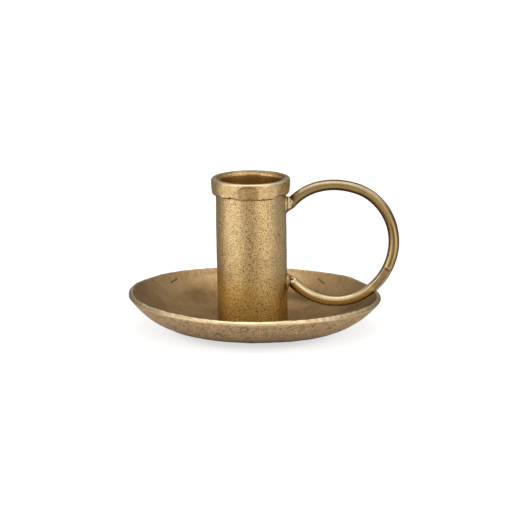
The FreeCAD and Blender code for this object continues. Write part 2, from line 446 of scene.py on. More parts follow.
# The brown of pits and marks, and of the deepest tarnishing and painted shade
PIT_AND_SHADE_BROWN = (0.11, 0.068, 0.028, 1.0)

# What the vertices tell the finish. The first label darkens both with tarnishing and with painted shade, the
# second brightens both with polishing and with painted highlights
WEAR_AND_SHADING_LABELS = ("patina_and_shade", "polish_and_highlight", "warmth", "olive", "speckle")

# Noises of the finish: size in millimetres, detail, roughness
SKIN = (1.1, 3.0, 0.65)
FINE_GRAIN = (0.40, 1.0, 0.5)
CLOUDS = (9.0, 4.0, 0.55)
STAINS = (3.2, 3.0, 0.6)
DISH_BRUSHING = (0.8, 2.0, 0.6)
BAR_BRUSHING = (0.55, 2.0, 0.6)
PIT_EDGES = (1.2, 2.0, 0.6)
RELIEF = 0.06  # height in millimetres of the finish's relief


def brass(name, grain, patches, rough, brushing=None, marked=False, warm=WARM_BRASS):
    """Aged brass. Grain and patches say how strong each is, brushing gives fine lines."""
    material = bpy.data.materials.new(name)
    graph = cleared(material)
    place = graph.add("ShaderNodeTexCoord")["Object"]
    patina_and_shade, polish_and_highlight, warmth, olive, specks = map(graph.told, WEAR_AND_SHADING_LABELS)
    skin = graph.noise(place, *SKIN)
    fine = graph.noise(place, *FINE_GRAIN)
    cloud = graph.noise(place, *CLOUDS)
    stain = graph.noise(place, *STAINS)
    wear_and_sheen = graph.ramp(cloud, 0.36, 0.66)
    stains = graph.ramp(stain, 0.50, 0.78) * patches
    relief = (skin + fine) * (0.8 * grain)

    # Each coat has a share and a tone, and covers the ones before it
    coats = [
        (wear_and_sheen * 0.6, WORN_BRASS),
        (stains * 0.5, DARK_BRASS),
        (warmth, warm),
        (olive, OLIVE_BRASS),
        (graph.ramp(skin, 0.54, 0.72) * specks * 0.55, DARK_BRASS),
        (graph.ramp(fine, 0.50, 0.62) * specks * 0.95, DARK_BRASS),
    ]
    if brushing is not None:
        lines = brushing(graph, place)
        coats.append((graph.ramp(lines, 0.45, 0.75) * 0.22, DARK_BRASS))
        relief += lines * 0.5
    # Tarnishing and painted shade, made uneven by the clouds and stains, and at their deepest the brown below
    uneven = patina_and_shade * graph.ramp(cloud + stain * 0.5, 0.45, 1.0, 1.15, 0.85)
    coats += [
        (uneven, DARK_BRASS),
        (graph.ramp(uneven, 0.75, 1.3, 0.0, 0.8), PIT_AND_SHADE_BROWN),
        # Polishing and painted highlights
        (polish_and_highlight * graph.ramp(skin, 0.35, 0.6, 1.0, 0.65), POLISH_AND_HIGHLIGHT_BRASS),
    ]
    if marked:
        mark = use_marks(graph, place)
        coats.append((mark * 0.8, PIT_AND_SHADE_BROWN))
        relief -= mark * 2.0
    colour = BRIGHT_BRASS
    for share, tone in coats:
        colour = graph.mix(share, colour, tone)

    roughness = rough + wear_and_sheen * 0.05 + stains * 0.08 + patina_and_shade * 0.08 - polish_and_highlight * 0.10
    bumps = {"Strength": 1.0, "Distance": RELIEF * MM, "Height": relief}
    shader = graph.add("ShaderNodeBsdfPrincipled", None, {
        "Base Color": colour, "Roughness": roughness, "Metallic": 1.0, "Specular Tint": EDGE_TINT,
        "Normal": graph.add("ShaderNodeBump", None, bumps)["Normal"],
    })
    finished(graph, shader["BSDF"])
    return material


def use_marks(graph, place):
    """1 in the strokes inside the dish and in the pits on its front."""
    from_above = graph.vector("MULTIPLY", place, (1.0, 1.0, 0.0))
    strokes = 0.0
    for start, end, width in STROKES:
        strokes = beside_line(graph, from_above, start, end, width).higher(strokes)
    from_front = graph.vector("MULTIPLY", place, (1.0, 0.0, 1.0))
    pits = 0.0
    for x, z, radius in PITS:
        gap = distance_from(graph, from_front, (x, 0.0, z))
        pits = graph.ramp(gap, 0.6 * radius * MM, 1.3 * radius * MM, 1.0, 0.0).higher(pits)
    x, z, radius = PIT_RING
    squashed = graph.vector("MULTIPLY", place, (1.0, 0.0, RING_SQUASH))
    off_ring = distance_from(graph, squashed, (x, 0.0, RING_SQUASH * z)) - radius * MM
    ring = graph.ramp(off_ring.math("ABSOLUTE", off_ring), 0.1 * MM, 0.55 * MM, 0.85, 0.0)
    depth = graph.add("ShaderNodeSeparateXYZ", None, {"Vector": place})["Y"]
    outer_face = graph.told("outer_face")
    in_front = outer_face * graph.ramp(depth, -34 * MM, -28 * MM, 1.0, 0.0)
    ragged = graph.ramp(graph.noise(place, *PIT_EDGES), 0.36, 0.54, 0.40, 1.0)
    return (ring.higher(pits) * ragged * in_front).higher(strokes * (1.0 - outer_face))


def distance_from(graph, place, spot):
    return graph.vector("DISTANCE", place, tuple(value * MM for value in spot))


def beside_line(graph, flat, start, end, width):
    """1 on a stroke between two places seen from above, fading to 0 beside it."""
    start = Vector((*start, 0.0)) * MM
    along = Vector((*end, 0.0)) * MM - start
    offset = graph.vector("SUBTRACT", flat, start)
    share = graph.vector("DOT_PRODUCT", offset, along / along.length_squared).clamped()
    foot = graph.add("ShaderNodeCombineXYZ", None, {"X": share * along.x, "Y": share * along.y})["Vector"]
    return graph.ramp(graph.vector("DISTANCE", offset, foot), 0.3 * width * MM, width * MM, 1.0, 0.0)


def brushed_outwards(graph, place):
    """Fine lines that run out from the dish's middle."""
    bearing = graph.vector("NORMALIZE", graph.vector("MULTIPLY", place, (1.0, 1.0, 0.0)))
    even = graph.vector("MULTIPLY", bearing, (40 * MM, 40 * MM, 0.0))
    return graph.noise(graph.vector("MULTIPLY_ADD", place, (0.05, 0.05, 0.05), even), *DISH_BRUSHING)


def brushed_along(graph, place):
    """Fine lines along the loop's bar."""
    offset = graph.vector("SUBTRACT", place, (LOOP_X * MM, 0.0, LOOP_Z * MM))
    parts = graph.add("ShaderNodeSeparateXYZ", None, {"Vector": offset})
    out = (parts["X"] * parts["X"] + parts["Z"] * parts["Z"]) ** 0.5
    lines = graph.add("ShaderNodeCombineXYZ", None, {"X": out, "Y": parts["Y"], "Z": parts["Z"] * 0.04})
    return graph.noise(lines["Vector"], *BAR_BRUSHING)


# The dish

def wall_point(radius, slope):
    return np.stack([BASE_RADIUS + radius * np.sin(slope), WALL_RADIUS - radius * np.cos(slope)], -1)


def eased_rim():
    """The rim's cut edge with both corners eased, from the outer face to the inner one."""
    outer = wall_point(WALL_RADIUS, WALL_SLOPE) - (RIM_ALONG + RIM_OUT) * RIM_EASING
    inner = wall_point(WALL_RADIUS - SHEET, WALL_SLOPE) - (RIM_ALONG - RIM_OUT) * RIM_EASING
    turn = np.linspace(0, math.pi / 2, 8)[:, None]
    first = outer + RIM_EASING * (RIM_OUT * np.cos(turn) + RIM_ALONG * np.sin(turn))
    second = inner + RIM_EASING * (RIM_ALONG * np.cos(turn) - RIM_OUT * np.sin(turn))
    between = np.linspace(first[-1], second[0], 6)[1:-1]
    return np.vstack([first, between, second])


def dish_profile():
    rim_slope = WALL_SLOPE - RIM_EASING / WALL_RADIUS
    base = np.stack([np.linspace(POLE_RADIUS, BASE_RADIUS, 9)[:-1], np.zeros(8)], -1)
    outer = wall_point(WALL_RADIUS, np.linspace(0, rim_slope, 64)[:-1])
    inner = wall_point(WALL_RADIUS - SHEET, np.linspace(rim_slope, 0, 68)[1:])
    floor = np.stack([np.linspace(BASE_RADIUS, POLE_RADIUS, 15)[1:], np.full(14, SHEET)], -1)
    return np.vstack([base, outer, eased_rim(), inner, floor])


def drip_dish(material):
    angles = around(DISH_POINTS)
    profile = dish_profile()
    points = turned(profile, angles)
    degrees = np.degrees(np.arctan2(points[..., 1], points[..., 0]))
    hammer_dish(points, degrees, turned_normals(profile, angles))
    return mesh_piece("drip_dish_sheet", points, material, dish_wear_and_shading(points, degrees, profile))


def hammer_dish(points, degrees, normals):
    """Hammering and a fuller place on both faces of the sheet, wear on the rim and its rises."""
    height = points[..., 2].copy()
    wall = rising(off_axis(points, 0), BASE_RADIUS, BASE_RADIUS + 8)
    shared = points * np.array([1.0, 1.0, 0.0])
    hammered = ripple(shared, 9.0, 3) * 0.045 + ripple(shared, 4.5, 4) * 0.022
    wear_and_sheen = ripple(points, 2.4, 5) * 0.05 * rising(height, RIM_HEIGHT - 2.2, RIM_HEIGHT - 0.2)
    bearing, swelling, spread = WALL_SWELL
    fuller = swelling * np.sin(math.pi * np.clip(height / RIM_HEIGHT, 0, 1)) ** 0.7
    fuller *= bell_round(degrees, bearing, spread)
    faces_out = np.where(np.arange(len(points)) < len(points) // 2, 1.0, -1.0)[:, None]
    points += normals * (hammered * wall + wear_and_sheen + fuller * faces_out * wall)[..., None]
    wander = sum(high * bell_round(degrees, bearing, spread) for bearing, high, spread in RIM_RISES)
    rise = np.clip(points[..., 2] / RIM_HEIGHT, 0, 1.1)
    points[..., 2] += (wander - RIM_DIP * points[..., 0]) * rise ** 1.3


def dish_wear_and_shading(points, degrees, profile):
    """Dark inside from its own tone and painted shade, mottle outside with painted shade low down, bright
    along the rim's cut edge with wear and painted highlights.
    """
    height = points[..., 2]
    right = np.cos(np.radians(degrees))
    back = np.sin(np.radians(degrees))
    along = profile @ RIM_ALONG
    through = ((wall_point(WALL_RADIUS, WALL_SLOPE) - profile) @ RIM_OUT)[:, None]
    outer_face = (np.arange(len(profile)) <= np.argmax(along))[:, None]
    rim = rising(along, along.max() - 1.0, along.max() - 0.3)[:, None]
    inner_wall = (1 - rim) * (1 - outer_face)
    outer_wall = 1 - inner_wall - rim

    mottle_and_low_shade = np.clip(0.04 + 0.26 * ripple(points, 4.0, 7) + 0.26 * ripple(points, 1.8, 8), 0, 1.0)
    # Painted shade low on the outer wall, darkest next to the floor; the wall also a little darker towards
    # the right
    mottle_and_low_shade += 0.90 * rising(height, 5.0, 0.0) + 0.9 * rising(height, 1.7, 0.4)
    mottle_and_low_shade += 0.12 * rising(right, 0.2, 0.6)
    # At the rim's left and right ends a painted dark outline along the outer corner and a painted highlight
    # line along the inner one
    sides = rim * right ** 4
    left_front = rim * bell_round(degrees, *RIM_LEFT_FRONT)
    patina_and_shade = inner_wall * inner_tarnish_and_shade(points, degrees, right, back) + outer_wall * mottle_and_low_shade
    # Painted shade on the rim towards the back
    patina_and_shade += 0.6 * rim * rising(back, 0.1, 0.6) + 0.8 * sides * bell(through, *OUTER_CORNER)

    # The rim's cut edge bright with wear, made brighter at the front by a painted highlight
    polish_and_highlight = rim * (0.46 + 0.14 * ripple(points, 8.0, 6)) * (0.62 - 0.40 * back)
    # A painted highlight line along the inner corner at the ends and the left front, the rest of the band at
    # the left front painted duller, and a painted highlight at the right front
    polish_and_highlight += 0.6 * np.maximum(sides, 0.9 * left_front) * bell(through, *INNER_CORNER)
    polish_and_highlight -= 0.14 * left_front * (1 - bell(through, INNER_CORNER[0], 2 * INNER_CORNER[1]))
    polish_and_highlight += 0.10 * rim * bell_round(degrees, *RIM_RIGHT_FRONT)
    return {
        "patina_and_shade": patina_and_shade, "polish_and_highlight": polish_and_highlight, "speckle": 0.60 + 0.6 * outer_wall,
        "warmth": 0.45 * inner_wall + 0.9 * outer_wall, "outer_face": outer_face,
    }


def inner_tarnish_and_shade(points, degrees, right, back):
    """How dark the wall is inside, its own dark tone with painted shade: more at the back, beside the tube
    and in a band above the floor.
    """
    height = points[..., 2]
    at_the_back = rising(back, -0.25, 0.25)
    behind = rising(np.abs(right), 0.85, 0.55)
    deep = rising(height, 7.5, 3.0)
    tube_shade = fading(off_axis(points) - TUBE_RADIUS, TUBE_SHADE_REACH)
    # A base of the metal's own dark tone, painted shade at the back and right, painted light at the left
    dark = 0.24 + 0.26 * at_the_back + 0.10 * rising(right, 0, 1) - 0.10 * rising(right, -0.6, -1.0)
    dark += (0.13 + 0.24 * behind) * bell(height, 5.9, 3.2)
    # Painted shade beside the tube
    dark += (0.25 + 0.90 * at_the_back) * tube_shade ** 1.3 * (1 - 0.4 * deep)
    # Painted light high on the wall at the back and front
    dark -= 0.26 * rising(height, 9, 11.5) * rising(np.abs(right + 0.06), 0.62, 0.32)
    # The loop's painted shadow on the wall under it, lighter below that
    loop_shade = 0.30 * bell(height, 5.4, 1.3) - 0.26 * rising(height, 4.5, 2.5)
    dark += loop_shade * bell_round(degrees, *UNDER_LOOP)
    # Near the floor darker, more so to the left, and lighter close beside the tube
    return dark + deep * (0.11 - 0.06 * right - 0.60 * tube_shade)


# The tube and its collar

def leaned(points):
    """The tube and what it carries lean a little, with the mouth in its place."""
    points[..., 0] += LEAN * (MOUTH_Z - points[..., 2])
    return points


def tube_profile():
    outer = np.stack([np.full(190, TUBE_RADIUS), np.linspace(FLOOR_Z, MOUTH_Z - 0.35, 190)], -1)
    end = np.array([[TUBE_RADIUS - 0.1, MOUTH_Z - 0.3], [BORE_RADIUS + MOUTH_EASING + 0.12, MOUTH_Z - 0.12]])
    turn = np.linspace(0, math.pi / 2, 9)[:, None]
    easing = np.hstack([
        BORE_RADIUS + MOUTH_EASING * (1 - np.sin(turn)),
        MOUTH_Z - 0.06 - MOUTH_DEPTH * (1 - np.cos(turn)),
    ])
    inner = np.stack([np.full(24, BORE_RADIUS), np.linspace(MOUTH_Z - MOUTH_DEPTH - 1, FLOOR_Z, 24)], -1)
    return np.vstack([outer, end, easing, inner])


def candle_tube(material):
    angles = around(TUBE_POINTS)
    profile = tube_profile()
    points = turned(profile, angles, TUBE_X)
    outside = 1.0 * (profile[:, :1] > TUBE_RADIUS - 0.05)
    uneven = ripple(points, 26.0, 11) * 0.07 + ripple(points, 7.0, 12) * 0.022
    uneven += ripple(points, 2.2, 13) * 0.012
    points += turned_normals(profile, angles) * (uneven * outside)[..., None]
    values = tube_wear_and_shading(points, angles, outside)
    return mesh_piece("candle_tube_wall", leaned(points), material, values, closed_rows=True)


def tube_wear_and_shading(points, angles, outside):
    """Painted shadow under the collar, painted shade round the joints and low down, painted highlights beside
    the front.
    """
    depth = MOUTH_Z - points[..., 2]
    degrees = np.degrees(angles)
    in_front = bell(degrees, *FRONT_SHADE)
    right = bell(degrees, *RIGHT_GLEAM)
    bore = (1 - outside) * rising(depth, 0, 3)
    joint_shade = outside * (joint_shade_mask(points, UPPER_LUMP) + joint_shade_mask(points, LOWER_LUMP))
    ragged = np.clip(0.5 + 0.6 * ripple(points, 4.0, 14), 0, 1)
    # Painted shadow along the collar's edge, ragged and deepest at the front
    patina_and_shade = (0.75 + 0.35 * in_front) * fading(lower_edge(angles) - points[..., 2] - 0.1, 0.35) * ragged
    # Painted shade in a belt, at the foot and low on the left
    patina_and_shade += 0.15 * bell(depth, *BELT_SHADE) + 0.12 * rising(depth, 46, 56)
    patina_and_shade += 0.20 * bell(degrees, *LOW_LEFT_SHADE) * rising(depth, 34, 42)
    # Painted highlights right and left of the front
    polish_and_highlight = 0.26 * right * rising(depth, 46, 34) + 0.09 * bell(degrees, *LEFT_GLEAM) * rising(depth, 34, 22)
    return {
        # Painted shade round the joints with an olive tint; a warmer tone in the bore, in front and in the
        # painted highlight at the right
        "patina_and_shade": outside * patina_and_shade + 0.50 * joint_shade, "polish_and_highlight": outside * polish_and_highlight,
        "warmth": 0.9 * bore + outside * (0.16 * in_front + 0.30 * right),
        "olive": outside * (0.02 + 0.46 * rising(depth, 32, 46)) + 0.35 * joint_shade,
        "speckle": 1.0 - 0.8 * bore,
    }


def joint_shade_mask(points, lump):
    """1 on the tube's wall close round the braze of one joint, fading to 0. There the tube gets painted
    shade.
    """
    middle = bar_point(BAR_END, lump["side"])[2] + (lump["rise"] - lump["drop"]) / 2
    tall = (lump["rise"] + lump["drop"]) / 2
    across = np.clip(np.abs(points[..., 1]) - LUMP_HALF_WIDTH + 0.6, 0, None)
    along = np.clip(np.abs(points[..., 2] - middle) - tall + 0.8, 0, None)
    return np.exp(-(across ** 2 + along ** 2) / 6.0) * (points[..., 0] > TUBE_X)


def lower_edge(angles):
    """Height of the collar's lower edge at each bearing, raised where the hammer met it."""
    edge = np.zeros_like(angles)
    for turn_share, depth_share in DRESSING_SHARES:
        run = (TUBE_RADIUS + COLLAR_FOOT_WALL) * wrapped(angles - TURN * turn_share)
        run = np.clip(run, -DRESSING_RADIUS, DRESSING_RADIUS)
        bite = DRESSING_DEPTH * depth_share - DRESSING_RADIUS + np.sqrt(DRESSING_RADIUS ** 2 - run ** 2)
        edge = np.maximum(edge, bite)
    drawn = SEAM_DROP * (1 - 1.7 * bell(wrapped(angles), 0, 0.45))
    return COLLAR_FOOT - drawn + edge + 0.09 * ripple(circle(angles, TUBE_RADIUS, 0, 0), 2.0, 23)


def collar_rows(angles):
    """Rows of radius and height from the seam at the foot, up the outside and over the lip."""
    foot = lower_edge(angles)
    foot_radius = TUBE_RADIUS + COLLAR_FOOT_WALL
    top_radius = TUBE_RADIUS + COLLAR_TOP_WALL
    low = foot + FOOT_ROUND
    high = MOUTH_Z - LIP_ROUND
    rows = [(TUBE_RADIUS - COLLAR_TUCK, foot + FOOT_EASING)]
    for turn in np.linspace(0, math.pi / 2, 8):
        out = foot_radius - (FOOT_ROUND + FOOT_EASING) * (1 - math.sin(turn))
        rows.append((out, foot + FOOT_ROUND * (1 - math.cos(turn))))
    for share in np.linspace(0, 1, 26)[1:-1]:
        height = low + (high - low) * share
        flare = (height - COLLAR_FOOT) / (MOUTH_Z - COLLAR_FOOT)
        rows.append((foot_radius + (top_radius - foot_radius) * flare, height))
    for turn in np.linspace(0, math.pi / 2, 10):
        out = top_radius - LIP_ROUND * (1 - math.cos(turn)) - LIP_EASING
        rows.append((out, MOUTH_Z - LIP_ROUND * (1 - math.sin(turn))))
    lip_inner = BORE_RADIUS + MOUTH_EASING + LIP_EASING
    lip_outer = top_radius - LIP_ROUND - LIP_EASING
    for share in (0.3, 0.6, 0.85, 1.0):
        rows.append((lip_outer + (lip_inner - lip_outer) * share, MOUTH_Z - LIP_EASING * share ** 4))
    return rows + [(lip_inner + 0.25, MOUTH_Z - 0.5), (TUBE_RADIUS - COLLAR_TUCK, MOUTH_Z - 1.0)]


def strike_collar(points, angles, share):
    """Presses the hammer's flats into the band. Returns 1 where they went deep, fading to 0."""
    wall = COLLAR_FOOT_WALL + (COLLAR_TOP_WALL - COLLAR_FOOT_WALL) * share
    struck = np.zeros(points.shape[:2])
    for bearing, top_cut, foot_cut in COLLAR_FLATS:
        aside = wrapped(angles - math.radians(bearing))
        arch = 0.75 + 0.075 * (TUBE_RADIUS * aside) ** 2
        under_lip = 1 - 0.85 * smooth((points[..., 2] - MOUTH_Z + arch + 0.7) / 0.9)
        limit = TUBE_RADIUS + wall - (foot_cut + (top_cut - foot_cut) * share) * under_lip
        limit += 0.03 * ripple(points, 3.0, int(bearing))
        before = points.copy()
        pulled_in(points, math.radians(bearing), limit)
        moved = np.linalg.norm(points - before, axis=-1)
        struck = np.maximum(struck, rising(moved, 0, 0.25) * smooth(top_cut / 0.4))
    return struck


def rim_collar(material):
    angles = around(COLLAR_POINTS)
    rows = collar_rows(angles)
    edge = rows[0][1]
    points = np.stack([circle(angles, radius, height) for radius, height in rows])
    share = np.clip((points[..., 2] - COLLAR_FOOT) / (MOUTH_Z - COLLAR_FOOT), 0, 1)
    struck = strike_collar(points, angles, share)
    outward = points - np.array([TUBE_X, 0, 0])
    outward[..., 2] = 0
    outward /= np.linalg.norm(outward, axis=-1)[..., None]
    outside = rising(off_axis(points), TUBE_RADIUS + 0.1, TUBE_RADIUS + 0.7)
    uneven = ripple(points, 5.0, 21) * 0.05 + ripple(points, 1.8, 22) * 0.022
    points += outward * (uneven * outside)[..., None]
    seam = fading(points[..., 2] - edge, 0.35) * outside
    lip = rising(points[..., 2], MOUTH_Z - 0.9, MOUTH_Z - 0.2) * outside
    points[..., 2] += (LIP_RAISE + LIP_TILT * (points[..., 0] - TUBE_X)) * share

    # Painted highlight on the lip's near side and painted shade on its far side and towards the loop,
    # brighter in places along the foot, darker with streaks and painted shade in the flat over the joint, the
    # seam dark
    far_lip = lip * smooth(np.sin(angles) / 0.35 + 0.4)
    bearing, half_width = DULL_SHADED_PLACE
    dull_and_shaded = np.exp(-((np.degrees(angles) - bearing) / half_width) ** 4) * rising(share, 0.95, 0.75) * outside
    streaks = ripple(points * np.array([0.15, 0.15, 1.0]), 0.9, 27)
    patina_and_shade = 0.02 * struck + 0.7 * far_lip + 0.60 * seam + 0.2 * bell(wrapped(angles), 0, 0.5) * outside
    patina_and_shade += dull_and_shaded * np.clip(0.34 + 0.20 * streaks, 0, 0.75)
    foot = bell(points[..., 2] - edge, 0.75, 0.35) * outside * (1 - struck)
    polish_and_highlight = 0.70 * (lip - far_lip) + foot * np.clip(0.14 + 0.2 * ripple(points, 3.5, 28), 0, 0.5)
    values = {"patina_and_shade": patina_and_shade, "polish_and_highlight": polish_and_highlight, "speckle": 0.7, "warmth": 0.35 * dull_and_shaded}
    return mesh_piece("rim_collar_band", leaned(points), material, values, closed_rows=True)


# Braze threads and the bar are grown by node trees

def geometry_tree(name, labels, takes_mesh=False):
    """A node tree with these numbers as its inputs: its graph and the wires that bring them."""
    tree = bpy.data.node_groups.new(name, "GeometryNodeTree")
    if takes_mesh:
        tree.interface.new_socket("Geometry", in_out="INPUT", socket_type="NodeSocketGeometry")
    for label in labels:
        tree.interface.new_socket(label, in_out="INPUT", socket_type="NodeSocketFloat")
    tree.interface.new_socket("Geometry", in_out="OUTPUT", socket_type="NodeSocketGeometry")
    graph = Graph(tree)
    outputs = tree.nodes.new("NodeGroupInput").outputs
    return graph, {socket.name: Wire(graph, socket) for socket in outputs if socket.name}


def round_bar(graph, path, radius, points, more):
    """A round bar along a path."""
    inputs = {"Resolution": points, "Radius": radius}
    profile = graph.add("GeometryNodeCurvePrimitiveCircle", {"mode": "RADIUS"}, inputs)["Curve"]
    inputs = {"Curve": path, "Profile Curve": profile, **more}
    return graph.add("GeometryNodeCurveToMesh", None, inputs)["Mesh"]


def ended_tree(graph, geometry, material):
    soft = graph.add("GeometryNodeSetShadeSmooth", None, {"Geometry": geometry})["Geometry"]
    whole = graph.add("GeometryNodeRealizeInstances", None, {"Geometry": soft})["Geometry"]
    done = graph.add("GeometryNodeSetMaterial", None, {"Geometry": whole, "Material": material})["Geometry"]
    graph.tree.links.new(done.socket, graph.tree.nodes.new("NodeGroupOutput").inputs["Geometry"])
    return graph.tree


def grown(name, tree, values, start=None):
    """A piece made by a node tree, whose named inputs get these values, from a starting mesh."""
    piece = placed(name, start or bpy.data.meshes.new(name))
    modifier = piece.modifiers.new(tree.name, "NODES")
    modifier.node_group = tree
    for socket in tree.interface.items_tree:
        if socket.in_out == "INPUT" and socket.name in values:
            modifier[socket.identifier] = values[socket.name]
    bpy.context.view_layer.update()
    depsgraph = bpy.context.evaluated_depsgraph_get()
    mesh = bpy.data.meshes.new_from_object(piece.evaluated_get(depsgraph))
    piece.modifiers.remove(modifier)
    piece.data = mesh
    return piece


def bead_tree(material, labels):
    """Node tree that lays an uneven bead of metal along a seam, which comes in as a loop of edges."""
    graph, given = geometry_tree("bead_along_seam", labels, takes_mesh=True)
    path = graph.add("GeometryNodeMeshToCurve", None, {"Mesh": given["Geometry"]})["Curve"]
    place = graph.add("GeometryNodeInputPosition")["Position"]
    width = (graph.noise(place, 2.4) - 0.5) * given["Unevenness"] + 1.0
    bead = round_bar(graph, path, given["Bead radius"], BEAD_POINTS, {"Scale": width})
    return ended_tree(graph, bead, material)


def collar_braze(material):
    """A thin uneven thread of braze along the seam under the collar."""
    angles = around(SEAM_POINTS)
    seam = leaned(circle(angles, TUBE_RADIUS, lower_edge(angles)))
    loop = bpy.data.meshes.new("collar_seam")
    edges = [(point, (point + 1) % SEAM_POINTS) for point in range(SEAM_POINTS)]
    loop.from_pydata((seam * MM).tolist(), edges, [])
    values = {"Bead radius": SEAM_RADIUS * MM, "Unevenness": SEAM_UNEVENNESS}
    piece = grown("collar_braze_thread", bead_tree(material, values), values, loop)
    set_values(piece.data, {"patina_and_shade": np.full(len(piece.data.vertices), 1.15)})
    return piece


def tube_foot_braze(material):
    """A fillet of braze between the tube's wall and the dish's floor."""
    angles = around(TUBE_POINTS)
    spread = FOOT_FILLET * (1 + 0.16 * ripple(circle(angles, 15, 0, 0), 9.0, 41))
    rows = []
    for turn in np.linspace(0, math.pi / 2, 12):
        out = TUBE_RADIUS + spread * (1 - math.sin(turn))
        rows.append(circle(angles, out, FLOOR_Z + spread * (1 - math.cos(turn))))
    for height in (FOOT_FILLET * 0.9, 0.05):
        rows.append(circle(angles, TUBE_RADIUS - FILLET_TUCK, FLOOR_Z + height))
    points = np.stack(rows)
    points[..., 2] = np.maximum(points[..., 2], FLOOR_Z + 0.02)
    values = {"patina_and_shade": 0.5, "warmth": 0.4}
    return mesh_piece("tube_foot_braze_bead", leaned(points), material, values, closed_rows=True)


# The finger loop

def bar_point(angle, side):
    """Place on the bar's middle line, this angle above (side 1) or below (side -1) its outermost point."""
    offset = np.array([math.cos(angle), 0, side * math.sin(angle)])
    return np.array([LOOP_X, 0, LOOP_Z]) + LOOP_RADIUS * offset


def bent_bar_tree(material, labels):
    """Node tree that bends a round bar to an open ring in the XZ plane."""
    graph, given = geometry_tree("bent_bar", labels)
    arc = graph.add("GeometryNodeCurveArc", {"mode": "RADIUS"}, {
        "Resolution": BAR_ROWS, "Radius": given["Loop radius"], "Start Angle": 0 - given["End angle"],
        "Sweep Angle": given["End angle"] * 2,
    })["Curve"]
    centre = graph.add("ShaderNodeCombineXYZ", None, {"X": given["Centre x"], "Z": given["Centre z"]})
    upright = graph.add("GeometryNodeTransform", None, {
        "Geometry": arc, "Translation": centre["Vector"], "Rotation": (math.pi / 2, 0, 0),
    })["Geometry"]
    bar = round_bar(graph, upright, given["Bar radius"], BAR_POINTS, {"Fill Caps": True})
    place = graph.add("GeometryNodeInputPosition")["Position"]
    slow = graph.noise(place, 9, 1.0) - 0.5
    quick = graph.noise(place, 2.6, 1.0) - 0.5
    shift = graph.add("ShaderNodeVectorMath", {"operation": "SCALE"}, {
        "Vector": graph.add("GeometryNodeInputNormal")["Normal"],
        "Scale": (slow * 1.6 + quick * 0.5) * given["Unevenness"],
    })["Vector"]
    moved = graph.add("GeometryNodeSetPosition", None, {"Geometry": bar, "Offset": shift})["Geometry"]
    return ended_tree(graph, moved, material)


def ring_handle(material):
    values = {
        "Loop radius": LOOP_RADIUS * MM, "Bar radius": BAR_RADIUS * MM,
        "Centre x": LOOP_X * MM, "Centre z": LOOP_Z * MM,
        "End angle": BAR_END, "Unevenness": BAR_UNEVENNESS * MM,
    }
    piece = grown("ring_handle_bar", bent_bar_tree(material, values), values)
    forge(piece.data)
    return piece


def forge(mesh):
    """Hand work on the bar: the ring is a little out of round, with a flat struck low on its front."""
    points = np.empty(len(mesh.vertices) * 3)
    mesh.vertices.foreach_get("co", points)
    points = points.reshape(-1, 3) / MM
    bearing = np.arctan2(points[:, 2] - LOOP_Z, points[:, 0] - LOOP_X)
    reach = np.hypot(points[:, 0] - LOOP_X, points[:, 2] - LOOP_Z)
    degrees = np.degrees(bearing)

    # The flat starts with a step and a burr, and runs out below
    flat = rising(degrees, FORGED_START, FORGED_START - 1.6) * rising(degrees, FORGED_END, FORGED_END + 9)
    face = -(BAR_RADIUS - FORGED_FLAT * flat + 0.03 * ripple(points, 2.0, 51))
    points[:, 1] = np.where(points[:, 1] < face, face + (points[:, 1] - face) * 0.12, points[:, 1])
    burr = bell(degrees, FORGED_START + 1.0, 1.1) * bell(points[:, 1], -1.7, 0.9)
    burr *= bell(reach, LOOP_RADIUS - 0.5, 0.9)
    points[:, 1] -= 0.18 * burr

    bent = reach + sum(outwards * bell(degrees, place, spread) for place, outwards, spread in OUT_OF_ROUND)
    points[:, 0] = LOOP_X + bent * np.cos(bearing)
    points[:, 2] = LOOP_Z + bent * np.sin(bearing)
    mesh.vertices.foreach_set("co", (points * MM).ravel())
    set_values(mesh, bar_wear_and_shading(points, bearing, reach - LOOP_RADIUS, flat, burr))
    mesh.update()


